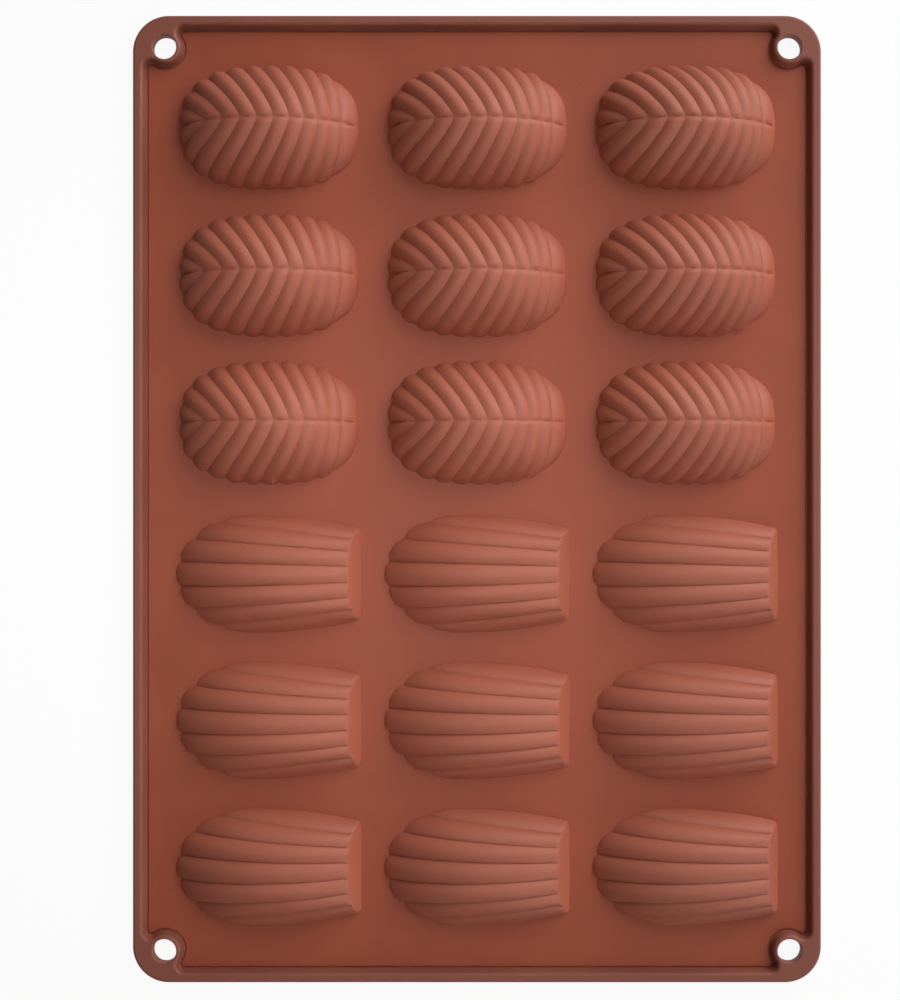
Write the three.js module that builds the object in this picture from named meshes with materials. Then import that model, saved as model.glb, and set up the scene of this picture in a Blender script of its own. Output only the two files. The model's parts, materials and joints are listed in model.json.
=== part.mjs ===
// Silicone cake mould with eighteen cups, lying open side down as it is stored and shown.
// A thin web inside a raised rim carries nine leaf cups (+Y half) and nine shell cups (-Y half),
// with an eyelet in each corner. The sheet folds between the halves, and each cup pushes in.
// Millimetres, +Z up out of the cup backs, origin in the middle of the open face.
import * as THREE from "three";
import { mergeVertices } from "three/addons/utils/BufferGeometryUtils.js";

// Sheet
const WEB_THICKNESS = 1.2;
const SEAM = 0.3; // gap between neighbouring pieces of the sheet

// Layout of the cups, three columns of six rows
const COLUMNS = 3;
const LEAF_ROWS = 3;
const SHELL_ROWS = 3;
const COLUMN_GAP = 6.9; // web between neighbouring columns
const LEAF_ROW_GAP = 7.2;
const SHELL_ROW_GAP = 8.9;
const GROUP_GAP = 9.3; // web between the leaf rows and the shell rows, where the sheet folds
const SIDE_MARGIN = 8.95; // web between the outer cups and the rim
const LEAF_END_MARGIN = 10.9;
const SHELL_END_MARGIN = 13;

// Rim
const RIM_WIDTH = 3.8; // across its foot
const RIM_HEIGHT = 4; // from the open face to its crest
const RIM_DRAFT = 0.8; // lean of the inner wall between the web and the edge of the crest
const RIM_EDGE = 0.6; // bevel of both edges of the crest
const CORNER_RADIUS = 11;

// Corner eyelets
const EYELET_INSET = 10.1; // from the hole's centre to the sheet's outer edges
const EYELET_HOLE_RADIUS = 3.9;
const EYELET_WALL = 2.3; // ring of material round the hole
const EYELET_FILLET = 1.5; // where the ring runs into the rim
const EYELET_LAND = 1; // straight rim kept past the fillet

// Cups
const CUP_WALL = 1.2;
const CUP_LIP = 1.2; // flat lip round the foot of a cup, level with the web

// Leaf cup: a blunt oval dome with slanted ribs on both sides of a straight vein
const LEAF_LENGTH = 55;
const LEAF_WIDTH = 38;
const LEAF_HEIGHT = 15.8; // above the web
const LEAF_BLUNTNESS = 2.6; // power of the outline, 2 for an ellipse
const LEAF_FULLNESS = 1.5; // power of the dome's height
const LEAF_RIBS = 11; // on each side of the vein, the last one wraps the stem end
const LEAF_RIBBED_SHARE = 0.765; // share of the half outline that the slanted ribs take up
const LEAF_GROOVE_DEPTH = 0.9;
const LEAF_TIP_TO_VEIN = 2.9; // from the left tip to the vein's first rib
const LEAF_STEM_TO_VEIN = 1.1; // from the vein's last rib to the stem end
const LEAF_CROWDING = 0.38; // how much closer the ribs stand at the stem end
const LEAF_SLANT_BEND = 1.3; // power of a groove's path from the vein, 1 for straight
const LEAF_STEM_BEND = 2.5; // extra bend of the grooves at the stem end
const LEAF_STEM_BEND_ONSET = 5; // power that keeps the extra bend near the stem

// Shell cup: a scalloped dome, round on the left, tapering to a sloping flat end on the right
const SHELL_LENGTH = 56.9;
const SHELL_WIDTH = 36;
const SHELL_END_WIDTH = 28.4;
const SHELL_ROUND_LENGTH = 23.4; // from the left tip to the widest place
const SHELL_HEIGHT = 11.5; // above the web
const SHELL_END_HEIGHT = 7; // at the top edge of the sloping end
const SHELL_END_SLOPE = 4; // run of the sloping end, seen from above
const SHELL_CREST_LENGTH = 30.2; // from the left tip to the highest place
const SHELL_FULLNESS = 2.6; // power of the dome across its width
const SHELL_RIBS = 7;
const SHELL_GROOVE_DEPTH = 0.8;
const SHELL_LEFT_FAN = Math.PI / 2; // half angle that spaces the ribs along the round end
const SHELL_RIGHT_FAN = Math.PI / 4; // half angle that spaces the ribs along the flat end

// Facets
const RIB_STEPS = 2; // across each rib
const STEM_STEPS = 4; // across the wide rib round the stem
const LIP_STEPS = 24; // round a leaf lip
const SHELL_LIP_STEPS = 6; // along each side and each quarter of a shell lip
const ARC_STEPS = 4; // along a fillet or half of a corner
const HOLE_STEPS = 20;
const LEAF_ROW_STOPS = [0, 0.5, 0.85, 1]; // rows of facets from the vein to the foot
const SHELL_ROW_STOPS = [0, 0.08, 0.25, 0.5, 0.78, 1]; // rows of facets from the round end to the flat end
const SLOPE_STEP = 0.05; // distance over which a dome's slope is taken

// Sizes that follow
const COLUMN_PITCH = Math.max(LEAF_LENGTH, SHELL_LENGTH) + COLUMN_GAP;
const LEAF_PITCH = LEAF_WIDTH + LEAF_ROW_GAP;
const SHELL_PITCH = SHELL_WIDTH + SHELL_ROW_GAP;
const CUPS_ACROSS = COLUMNS * COLUMN_PITCH - COLUMN_GAP;
const TRAY_WIDTH = CUPS_ACROSS + 2 * (SIDE_MARGIN + RIM_WIDTH);
const LEAF_HALF = GROUP_GAP / 2 + LEAF_ROWS * LEAF_PITCH - LEAF_ROW_GAP + LEAF_END_MARGIN + RIM_WIDTH;
const SHELL_HALF = GROUP_GAP / 2 + SHELL_ROWS * SHELL_PITCH - SHELL_ROW_GAP + SHELL_END_MARGIN + RIM_WIDTH;
const FOLD_Y = (SHELL_HALF - LEAF_HALF) / 2;
const LEAF_END_Y = FOLD_Y + LEAF_HALF;
const SHELL_END_Y = FOLD_Y - SHELL_HALF;
const EYELET_RADIUS = EYELET_HOLE_RADIUS + EYELET_WALL;

// The rim's section from its foot to its crest: how far the outer and inner walls stand back at each height.
const RIM_LEVELS = [
  { z: 0, outer: 0, inner: 0 },
  { z: WEB_THICKNESS, outer: 0, inner: 0 },
  { z: RIM_HEIGHT - RIM_EDGE, outer: 0, inner: RIM_DRAFT },
  { z: RIM_HEIGHT, outer: RIM_EDGE, inner: RIM_DRAFT + RIM_EDGE },
];

const SILICONE = { color: 0x8f4a39, roughness: 0.5, metalness: 0 };

function point(x, y, z) {
  return new THREE.Vector3(x, y, z);
}

function atHeight(outline, z) {
  return outline.map((p) => point(p.x, p.y, z));
}

function quad(a, b, c, d) {
  return [[a, b, c], [a, c, d]];
}

// Wall between two closed loops of as many points, facing out when they run anticlockwise seen from above.
function wall(lower, upper) {
  return lower.flatMap((corner, i) => {
    const next = (i + 1) % lower.length;
    return quad(corner, lower[next], upper[next], upper[i]);
  });
}

// Flat face inside an outline, with holes left open, facing up or down.
function flatFace(outline, holes, facesUp) {
  const corners = [outline, ...holes].flat();
  return THREE.ShapeUtils.triangulateShape(outline, holes).map(([i, j, k]) => {
    const [a, b, c] = [corners[i], corners[j], corners[k]];
    const turnsLeft = (b.x - a.x) * (c.y - a.y) - (b.y - a.y) * (c.x - a.x) > 0;
    return turnsLeft === facesUp ? [a, b, c] : [a, c, b];
  });
}

function turnedOver(triangles) {
  return triangles.map(([a, b, c]) => [a, c, b]);
}

function solid(...faces) {
  const positions = faces.flat().flatMap((corners) => corners.flatMap((p) => [p.x, p.y, p.z]));
  const geometry = new THREE.BufferGeometry();
  geometry.setAttribute("position", new THREE.Float32BufferAttribute(positions, 3));
  const welded = mergeVertices(geometry);
  welded.computeVertexNormals();
  return welded;
}

// Points of an arc from one angle to another, both ends included.
function arc(centre, radius, from, to, steps) {
  return Array.from({ length: steps + 1 }, (_, i) => {
    const angle = THREE.MathUtils.lerp(from, to, i / steps);
    return point(centre.x + radius * Math.cos(angle), centre.y + radius * Math.sin(angle), 0);
  });
}

// Inner edge of a corner, from one rail to the other, with the sheet's outer corner at the origin.
// It runs round the eyelet's ring, with a fillet at each rail, and stands back from the web by setBack.
function cornerInnerEdge(setBack) {
  const rail = RIM_WIDTH - setBack;
  const ring = EYELET_RADIUS - setBack;
  const fillet = EYELET_FILLET + setBack;
  const reach = ring + fillet;
  const aside = rail + fillet - EYELET_INSET;
  const along = Math.sqrt(reach * reach - aside * aside);
  const eyelet = point(EYELET_INSET, EYELET_INSET, 0);
  const firstFillet = point(EYELET_INSET + along, rail + fillet, 0);
  const lastFillet = point(rail + fillet, EYELET_INSET + along, 0);
  const lean = Math.atan2(aside, along);
  const quarter = Math.PI / 2;
  return [
    ...arc(firstFillet, fillet, -quarter, -Math.PI + lean, ARC_STEPS),
    ...arc(eyelet, ring, lean, quarter - lean, 2 * ARC_STEPS).slice(1, -1),
    ...arc(lastFillet, fillet, -quarter - lean, -Math.PI, ARC_STEPS),
  ];
}

const CORNER_LENGTH = Math.max(CORNER_RADIUS, cornerInnerEdge(0)[0].x) + EYELET_LAND;

function loft(rings) {
  const walls = rings.slice(1).flatMap((ring, i) => wall(rings[i], ring));
  return [...flatFace(rings[0], [], false), ...walls, ...flatFace(rings[rings.length - 1], [], true)];
}

// A straight rail, its outer edge along the X axis and the rim's width towards +Y.
function railGeometry(length) {
  const rings = RIM_LEVELS.map(({ z, outer, inner }) => [
    point(0, outer, z),
    point(length, outer, z),
    point(length, RIM_WIDTH - inner, z),
    point(0, RIM_WIDTH - inner, z),
  ]);
  return solid(loft(rings));
}

// A corner of the rim with its eyelet, the sheet's outer corner at the origin and the sheet towards +X +Y.
function cornerGeometry() {
  const centre = point(CORNER_RADIUS, CORNER_RADIUS, 0);
  const rings = RIM_LEVELS.map(({ z, outer, inner }) => {
    const rail = RIM_WIDTH - inner;
    const outline = [
      point(CORNER_LENGTH, outer, 0),
      point(CORNER_LENGTH, rail, 0),
      ...cornerInnerEdge(inner),
      point(rail, CORNER_LENGTH, 0),
      point(outer, CORNER_LENGTH, 0),
      ...arc(centre, CORNER_RADIUS - outer, Math.PI, 1.5 * Math.PI, 2 * ARC_STEPS),
    ];
    return atHeight(outline, z);
  });
  const eyelet = point(EYELET_INSET, EYELET_INSET, 0);
  const hole = arc(eyelet, EYELET_HOLE_RADIUS, 0, 2 * Math.PI, HOLE_STEPS).slice(1);
  const holeFoot = atHeight(hole, 0);
  const holeCrest = atHeight(hole, RIM_HEIGHT);
  const walls = rings.slice(1).flatMap((ring, i) => wall(rings[i], ring));
  return solid(
    walls,
    turnedOver(wall(holeFoot, holeCrest)),
    flatFace(rings[0], [holeFoot], false),
    flatFace(rings[rings.length - 1], [holeCrest], true),
  );
}

// Blunt oval of the given half length and half width, by its angle.
function ovalPoint(halfLength, halfWidth, angle) {
  const round = (value) => Math.sign(value) * Math.abs(value) ** (2 / LEAF_BLUNTNESS);
  return point(halfLength * round(Math.cos(angle)), halfWidth * round(Math.sin(angle)), 0);
}

// Upper half of the leaf's outline from its left tip to its stem end, measured along its length.
class LeafOutline extends THREE.Curve {
  constructor(halfLength, halfWidth) {
    super();
    this.halfLength = halfLength;
    this.halfWidth = halfWidth;
  }

  getPoint(t) {
    return ovalPoint(this.halfLength, this.halfWidth, Math.PI * (1 - t));
  }
}

function leafLip(margin) {
  const halfLength = LEAF_LENGTH / 2 + margin;
  const halfWidth = LEAF_WIDTH / 2 + margin;
  return Array.from({ length: LIP_STEPS }, (_, i) => {
    return ovalPoint(halfLength, halfWidth, (2 * Math.PI * i) / LIP_STEPS);
  });
}

// How deep a groove lies at a place counted in ribs: nothing on a rib's crown, all at its edges.
// The outer half of an end rib slopes plainly to the foot.
function grooveShare(rib) {
  const acrossRib = rib - Math.floor(rib);
  return (2 * acrossRib - 1) ** 2;
}

// Ribbed skin of a leaf cup, standing inside its outer face by inset: its facets and its foot at footZ.
function leafSkin(inset, footZ) {
  const halfLength = LEAF_LENGTH / 2 - inset;
  const halfWidth = LEAF_WIDTH / 2 - inset;
  const height = LEAF_HEIGHT - inset;
  const outline = new LeafOutline(halfLength, halfWidth);
  const veinStart = -halfLength + LEAF_TIP_TO_VEIN;
  const veinLength = 2 * halfLength - LEAF_TIP_TO_VEIN - LEAF_STEM_TO_VEIN;
  const slanted = LEAF_RIBS - 1;

  function skinPoint(rib, across, side) {
    const share = rib / LEAF_RIBS;
    const ribbed = Math.min(rib, slanted) / slanted;
    const wrapped = Math.max(rib - slanted, 0);
    const foot = outline.getPointAt(ribbed * LEAF_RIBBED_SHARE + wrapped * (1 - LEAF_RIBBED_SHARE));
    const veinX = veinStart + veinLength * share * (1 + LEAF_CROWDING * (1 - share));
    const bend = LEAF_SLANT_BEND + LEAF_STEM_BEND * share ** LEAF_STEM_BEND_ONSET;
    const x = veinX + (foot.x - veinX) * across ** bend;
    const y = side * foot.y * across;
    const depth = rib < LEAF_RIBS - 0.5 ? LEAF_GROOVE_DEPTH * grooveShare(rib) * across : 0;
    const skin = sunkIntoDome(x, y, depth);
    return across === 1 ? skin.setZ(footZ) : skin;
  }

  function sunkIntoDome(x, y, depth) {
    const along = Math.abs(x / halfLength) ** LEAF_BLUNTNESS;
    const aside = Math.abs(y / halfWidth) ** LEAF_BLUNTNESS;
    const radius = (along + aside) ** (1 / LEAF_BLUNTNESS);
    const rise = Math.max(1 - radius * radius, 0) ** (1 / LEAF_FULLNESS);
    const steep = radius > 0 ? 2 * radius ** (2 - LEAF_BLUNTNESS) : 0;
    const normal = point(
      (steep * Math.sign(x) * Math.abs(x) ** (LEAF_BLUNTNESS - 1)) / halfLength ** LEAF_BLUNTNESS,
      (steep * Math.sign(y) * Math.abs(y) ** (LEAF_BLUNTNESS - 1)) / halfWidth ** LEAF_BLUNTNESS,
      (LEAF_FULLNESS * rise ** (LEAF_FULLNESS - 1)) / height,
    ).normalize();
    return point(x, y, WEB_THICKNESS + height * rise).addScaledVector(normal, -depth);
  }

  const slantedStops = Array.from({ length: slanted * RIB_STEPS }, (_, i) => i / RIB_STEPS);
  const stemStops = Array.from({ length: STEM_STEPS + 1 }, (_, i) => slanted + i / STEM_STEPS);
  const ribStops = [...slantedStops, ...stemStops];
  const rows = LEAF_ROW_STOPS.map((across) => {
    const upper = ribStops.map((rib) => skinPoint(rib, across, 1));
    const lower = ribStops.slice(1, -1).map((rib) => skinPoint(rib, across, -1));
    return [...upper.reverse(), ...lower];
  });
  const facets = rows.slice(1).flatMap((row, i) => wall(row, rows[i]));
  return { facets, foot: rows[rows.length - 1] };
}

// Half width of the shell's outline, from its widest place to its flat end.
function shellHalfWidth(x, inset) {
  const widest = -SHELL_LENGTH / 2 + SHELL_ROUND_LENGTH;
  const narrowing = (SHELL_WIDTH - SHELL_END_WIDTH) / 2;
  const along = (x - widest) / (SHELL_LENGTH - SHELL_ROUND_LENGTH);
  return SHELL_WIDTH / 2 - inset - narrowing * along * along;
}

function shellLip(margin) {
  const widest = point(-SHELL_LENGTH / 2 + SHELL_ROUND_LENGTH, 0, 0);
  const end = SHELL_LENGTH / 2 + margin;
  const round = arc(widest, 1, Math.PI / 2, 1.5 * Math.PI, 2 * SHELL_LIP_STEPS).map((p) => {
    const halfLength = SHELL_ROUND_LENGTH + margin;
    return point(widest.x + (p.x - widest.x) * halfLength, p.y * (SHELL_WIDTH / 2 + margin), 0);
  });
  const sideStops = Array.from({ length: SHELL_LIP_STEPS }, (_, i) => (i + 1) / SHELL_LIP_STEPS);
  const lowerSide = sideStops.map((t) => {
    const x = THREE.MathUtils.lerp(widest.x, end, t);
    return point(x, -shellHalfWidth(x, -margin), 0);
  });
  const upperSide = lowerSide.map((p) => point(p.x, -p.y, 0)).reverse();
  return [...round, ...lowerSide, ...upperSide];
}

// Ribbed skin of a shell cup, standing inside its outer face by inset: its facets and its foot at footZ.
function shellSkin(inset, footZ) {
  const tip = -SHELL_LENGTH / 2 + inset;
  const widest = -SHELL_LENGTH / 2 + SHELL_ROUND_LENGTH;
  const crest = -SHELL_LENGTH / 2 + SHELL_CREST_LENGTH;
  const endFoot = SHELL_LENGTH / 2 - inset;
  const endTop = endFoot - SHELL_END_SLOPE;
  const height = SHELL_HEIGHT - inset;
  const endHeight = SHELL_END_HEIGHT - inset;
  const halfWidth = SHELL_WIDTH / 2 - inset;
  const bow = shellHalfWidth((widest + endTop) / 2, inset) - (halfWidth + shellHalfWidth(endTop, inset)) / 2;

  function riseAt(x, y) {
    const backLength = x < crest ? crest - tip : (endTop - crest) / Math.sqrt(1 - endHeight / height);
    const lengthwise = 1 - ((x - crest) / backLength) ** 2;
    const roundShare = Math.sqrt(Math.max(1 - ((x - widest) / (widest - tip)) ** 2, 0));
    const edge = x < widest ? halfWidth * roundShare : shellHalfWidth(x, inset);
    const aside = edge > 0 ? Math.min(Math.abs(y) / edge, 1) : 1;
    return height * Math.max(lengthwise, 0) * (1 - aside ** SHELL_FULLNESS);
  }

  function sunkIntoDome(x, y, depth) {
    const slopeX = (riseAt(x + SLOPE_STEP, y) - riseAt(x - SLOPE_STEP, y)) / (2 * SLOPE_STEP);
    const slopeY = (riseAt(x, y + SLOPE_STEP) - riseAt(x, y - SLOPE_STEP)) / (2 * SLOPE_STEP);
    const normal = point(-slopeX, -slopeY, 1).normalize();
    return point(x, y, WEB_THICKNESS + riseAt(x, y)).addScaledVector(normal, -depth);
  }

  // A rib runs from the round end to the top edge of the flat end, and spreads out on its way.
  function skinPoint(rib, along) {
    const place = (2 * rib) / SHELL_RIBS - 1;
    const left = point(
      widest - (widest - tip) * Math.cos(place * SHELL_LEFT_FAN),
      halfWidth * Math.sin(place * SHELL_LEFT_FAN),
      0,
    );
    const rightShare = Math.sin(place * SHELL_RIGHT_FAN) / Math.sin(SHELL_RIGHT_FAN);
    const right = point(endTop, shellHalfWidth(endTop, inset) * rightShare, 0);
    const plan = left.lerp(right, along);
    plan.y += 4 * bow * place * along * (1 - along);
    const betweenRibs = Math.abs(place) < 1 - 1 / SHELL_RIBS;
    const depth = betweenRibs ? SHELL_GROOVE_DEPTH * grooveShare(rib) : 0;
    if (along === 0) {
      return scallopPoint(place, depth);
    }
    return Math.abs(place) === 1 ? plan.setZ(footZ) : sunkIntoDome(plan.x, plan.y, depth);
  }

  // Foot of the round end, drawn in between the ribs.
  function scallopPoint(place, depth) {
    const angle = place * SHELL_LEFT_FAN;
    const x = widest - (widest - tip - depth) * Math.cos(angle);
    return point(x, (halfWidth - depth) * Math.sin(angle), footZ);
  }

  function endFootPoint(rib) {
    const place = (2 * rib) / SHELL_RIBS - 1;
    const share = Math.sin(place * SHELL_RIGHT_FAN) / Math.sin(SHELL_RIGHT_FAN);
    return point(endFoot, shellHalfWidth(endFoot, inset) * share, footZ);
  }

  const ribStops = Array.from({ length: SHELL_RIBS * RIB_STEPS + 1 }, (_, i) => i / RIB_STEPS);
  const rows = SHELL_ROW_STOPS.map((along) => ribStops.map((rib) => skinPoint(rib, along)));
  rows.push(ribStops.map(endFootPoint));
  const facets = rows.slice(1).flatMap((row, i) => {
    return row.slice(1).flatMap((corner, j) => quad(rows[i][j], row[j], corner, rows[i][j + 1]));
  });
  const lowerSide = rows.map((row) => row[0]);
  const upperSide = rows.map((row) => row[row.length - 1]);
  const foot = [
    ...lowerSide,
    ...rows[rows.length - 1].slice(1, -1),
    ...upperSide.reverse(),
    ...rows[0].slice(1, -1).reverse(),
  ];
  return { facets, foot };
}

// A cup is its ribbed back, its lip, and the skin of its cavity down to the open face.
function cupGeometry(makeSkin, lip) {
  const back = makeSkin(0, WEB_THICKNESS);
  const cavity = makeSkin(CUP_WALL, 0);
  const lipFoot = atHeight(lip, 0);
  const lipTop = atHeight(lip, WEB_THICKNESS);
  return solid(
    back.facets,
    flatFace(lipTop, [back.foot], true),
    wall(lipFoot, lipTop),
    flatFace(lipFoot, [cavity.foot], false),
    turnedOver(cavity.facets),
  );
}

const columnX = (column) => (column - (COLUMNS - 1) / 2) * COLUMN_PITCH;
const leafRowY = (row) => FOLD_Y + GROUP_GAP / 2 + LEAF_WIDTH / 2 + (LEAF_ROWS - 1 - row) * LEAF_PITCH;
const shellRowY = (row) => FOLD_Y - GROUP_GAP / 2 - SHELL_WIDTH / 2 - row * SHELL_PITCH;

// Web of one half, from the fold to its end rail, with an opening for the lip of each cup.
// The half lies towards +Y of the fold when end is 1 and towards -Y when it is -1.
function webGeometry(end, endY, rows, rowY, lip) {
  const foldEdge = FOLD_Y + (end * SEAM) / 2;
  const cornerEdge = cornerInnerEdge(-SEAM);
  const left = cornerEdge.map((p) => new THREE.Vector2(p.x - TRAY_WIDTH / 2, endY - end * p.y));
  const right = left.map((p) => new THREE.Vector2(-p.x, p.y)).reverse();
  const sideX = TRAY_WIDTH / 2 - RIM_WIDTH - SEAM;
  const outline = [
    new THREE.Vector2(sideX, foldEdge),
    ...right,
    ...left,
    new THREE.Vector2(-sideX, foldEdge),
  ];
  const shape = new THREE.Shape(outline);
  for (let row = 0; row < rows; row += 1) {
    for (let column = 0; column < COLUMNS; column += 1) {
      const opening = lip.map((p) => new THREE.Vector2(p.x + columnX(column), p.y + rowY(row)));
      shape.holes.push(new THREE.Path(opening));
    }
  }
  const geometry = new THREE.ExtrudeGeometry(shape, { depth: WEB_THICKNESS, bevelEnabled: false });
  geometry.deleteAttribute("normal");
  geometry.deleteAttribute("uv");
  const welded = mergeVertices(geometry);
  welded.computeVertexNormals();
  return welded;
}

const mould = new THREE.Group();
mould.name = "cake_mould";

function addPiece(name, geometry, x, y) {
  const piece = new THREE.Mesh(geometry, new THREE.MeshStandardMaterial(SILICONE));
  piece.name = name;
  piece.position.set(x, y, 0);
  mould.add(piece);
  return piece;
}

function addWebs() {
  const leafOpening = leafLip(CUP_LIP + SEAM);
  const shellOpening = shellLip(CUP_LIP + SEAM);
  addPiece("leaf_web", webGeometry(1, LEAF_END_Y, LEAF_ROWS, leafRowY, leafOpening), 0, 0);
  addPiece("shell_web", webGeometry(-1, SHELL_END_Y, SHELL_ROWS, shellRowY, shellOpening), 0, 0);
}

function addRim() {
  const halves = [
    { name: "leaf", end: 1, endY: LEAF_END_Y, length: LEAF_HALF },
    { name: "shell", end: -1, endY: SHELL_END_Y, length: SHELL_HALF },
  ];
  const cornerGap = CORNER_LENGTH + SEAM;
  const corner = cornerGeometry();
  const endRail = railGeometry(TRAY_WIDTH - 2 * cornerGap);
  for (const { name, end, endY, length } of halves) {
    const sideRail = railGeometry(length - cornerGap - SEAM / 2);
    const endPiece = addPiece(`${name}_end_rail`, endRail, cornerGap - TRAY_WIDTH / 2, endY);
    endPiece.scale.set(1, -end, 1);
    for (const side of [-1, 1]) {
      const sideName = side < 0 ? "left" : "right";
      const outerX = (side * TRAY_WIDTH) / 2;
      const sidePiece = addPiece(`${name}_${sideName}_rail`, sideRail, outerX, FOLD_Y + (end * SEAM) / 2);
      sidePiece.rotation.z = (end * Math.PI) / 2;
      sidePiece.scale.set(1, side * end, 1);
      const eyelet = addPiece(`${name}_${sideName}_eyelet`, corner, outerX, endY);
      eyelet.scale.set(-side, -end, 1);
    }
  }
}

function addCups() {
  const leafCup = cupGeometry(leafSkin, leafLip(CUP_LIP));
  const shellCup = cupGeometry(shellSkin, shellLip(CUP_LIP));
  for (let column = 0; column < COLUMNS; column += 1) {
    for (let row = 0; row < LEAF_ROWS; row += 1) {
      addPiece(`leaf_cup_r${row + 1}c${column + 1}`, leafCup, columnX(column), leafRowY(row));
    }
    for (let row = 0; row < SHELL_ROWS; row += 1) {
      const shellRow = LEAF_ROWS + row + 1;
      addPiece(`shell_cup_r${shellRow}c${column + 1}`, shellCup, columnX(column), shellRowY(row));
    }
  }
}

addWebs();
addRim();
addCups();

export default mould;
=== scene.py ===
"""Looks of a silicone cake mould that lies open side down.

Nine leaf cups and nine shell cups stand in one web with a rim. The mould is one moulding of satin
brown silicone: its cups, its web and its rim are smooth skins that meet without a seam.
Metres, +Z up out of the cup backs.
"""

import json
import math

import bpy
import numpy as np
from bpy.props import FloatProperty, FloatVectorProperty, IntProperty, PointerProperty
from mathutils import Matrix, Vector
from mathutils.geometry import delaunay_2d_cdt

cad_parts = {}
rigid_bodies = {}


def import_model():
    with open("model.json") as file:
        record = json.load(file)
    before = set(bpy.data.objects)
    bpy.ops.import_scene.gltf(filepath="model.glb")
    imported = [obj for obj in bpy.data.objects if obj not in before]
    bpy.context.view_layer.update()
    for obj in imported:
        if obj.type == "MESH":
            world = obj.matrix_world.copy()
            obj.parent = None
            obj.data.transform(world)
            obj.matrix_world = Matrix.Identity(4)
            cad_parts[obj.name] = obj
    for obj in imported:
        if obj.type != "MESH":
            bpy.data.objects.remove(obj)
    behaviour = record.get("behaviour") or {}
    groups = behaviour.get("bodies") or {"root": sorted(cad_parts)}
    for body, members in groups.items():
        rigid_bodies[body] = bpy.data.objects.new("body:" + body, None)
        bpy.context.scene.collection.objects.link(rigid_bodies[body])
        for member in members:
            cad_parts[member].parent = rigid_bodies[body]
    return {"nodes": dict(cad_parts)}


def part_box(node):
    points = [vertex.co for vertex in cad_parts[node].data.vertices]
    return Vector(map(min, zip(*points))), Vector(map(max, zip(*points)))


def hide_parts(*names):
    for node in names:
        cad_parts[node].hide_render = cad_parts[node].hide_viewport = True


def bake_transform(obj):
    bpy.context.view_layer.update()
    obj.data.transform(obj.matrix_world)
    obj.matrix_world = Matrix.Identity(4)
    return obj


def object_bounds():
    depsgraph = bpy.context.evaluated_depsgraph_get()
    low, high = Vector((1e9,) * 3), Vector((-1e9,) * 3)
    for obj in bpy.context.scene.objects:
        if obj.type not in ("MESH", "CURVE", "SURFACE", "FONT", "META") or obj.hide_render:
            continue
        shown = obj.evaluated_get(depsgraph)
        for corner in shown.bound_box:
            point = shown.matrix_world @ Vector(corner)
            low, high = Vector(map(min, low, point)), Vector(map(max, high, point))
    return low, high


bl_info = {
    "name": "Silicone cake mould",
    "version": (1, 0, 0),
    "blender": (4, 5, 0),
    "location": "View3D > Sidebar > Mould",
    "description": "Builds a silicone cake mould with leaf and shell cups round its packed frame",
    "category": "Object",
}

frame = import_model()
CAD_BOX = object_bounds()
CREST = "crest"
PAINTED_SHEEN = "painted_sheen"

LEAF_NODES = sorted(n for n in frame["nodes"] if n.startswith("leaf_cup_"))
SHELL_NODES = sorted(n for n in frame["nodes"] if n.startswith("shell_cup_"))
SHEET_NODES = sorted(set(frame["nodes"]) - set(LEAF_NODES) - set(SHELL_NODES))

WEB_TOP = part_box("leaf_web")[1].z
FOLD_Y = (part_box("leaf_web")[0].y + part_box("shell_web")[1].y) / 2
LIP = 0.0012  # flat ring round the foot of a cup
LEVEL = 0.00001  # heights that differ by less are level
OPEN_FACE = 0.0001  # points under this height lie on the open face
FULL_TURN = 2 * math.pi
QUARTER_TURN = math.pi / 2

# Nets of the cups
GROOVE_CROWDING = 0.6  # how much closer the facets stand in the grooves
END_CROWDING = 0.8  # how much closer the rows of a shell stand at its two ends
VEIN_CROWDING = 1.3  # power that brings the rows of a leaf closer to its vein
LEAF_OUTLINE_POINTS = 400
END_FAN = math.pi / 4  # half angle that spaces the ribs along a shell's flat end
OPEN_EDGE = 1.5  # an edge with fewer faces is on an open border
WELD = 0.000002  # points of a leaf's two sides that are closer become one
ROW_END = 0.0001  # share of the rows that counts as their end
SHARP_ANGLE = math.radians(45)

# Grooves of the cups
CREASE_POWER = 9.0  # how narrow the crease between two ribs is
GROOVE_ONSET = 0.35  # power of a leaf groove's depth from the vein outwards
SIDE_FADE = 0.8  # share of a shell's tip grooves that is lost at its sides
END_FADE = 0.3  # how far a shell's grooves reach over the edge of its flat end
CORNER_POWER = 20.0  # how close to its corners a shell's flat end is set back

# Skin of the sheet
MILLIMETRES = 1000  # in a metre
INSIDE_ONLY = 1  # the cut keeps what lies inside its rings
CUT_WELD = 0.0001  # millimetres
CORNER_STEPS = 24
FILLET_STEPS = 8
HOLE_STEPS = 48
BEND_ROWS = 8  # of the web's net, to each side of the fold
BEND_MARGIN = 1.2  # reach of these rows, in the reach of the bend
BEND_CLEARANCE = 0.0003  # from the net to its borders, where the sheet bends
NET_CLEARANCE = 0.35  # the same elsewhere, in steps of the net
BEYOND = 1.0  # a place past the sheet, where a section's straight ends point

# Finish and stage
CLOUD_DETAIL = 3.0
CLOUD_SPAN = (0.35, 0.65)  # of the noise that runs from the deep to the plain brown
GRAIN_DETAIL = 2.0
WHITE = (1.0, 1.0, 1.0, 1.0)
FLOOR_WHITE = (0.9, 0.9, 0.9, 1.0)
CLIP_START = 0.01


def cup_size(node):
    """Length, width and height of a cup above the web, without its lip."""
    low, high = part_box(node)
    return Vector((high.x - low.x - 2 * LIP, high.y - low.y - 2 * LIP, high.z - WEB_TOP))


LEAF_SIZE = cup_size(LEAF_NODES[0])
SHELL_SIZE = cup_size(SHELL_NODES[0])


def property_of(kind, **settings):
    """A function that makes one kind of property from a name, a description and a default."""
    def made(name, description, default):
        return kind(name=name, description=description, default=default, **settings)
    return made


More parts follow.
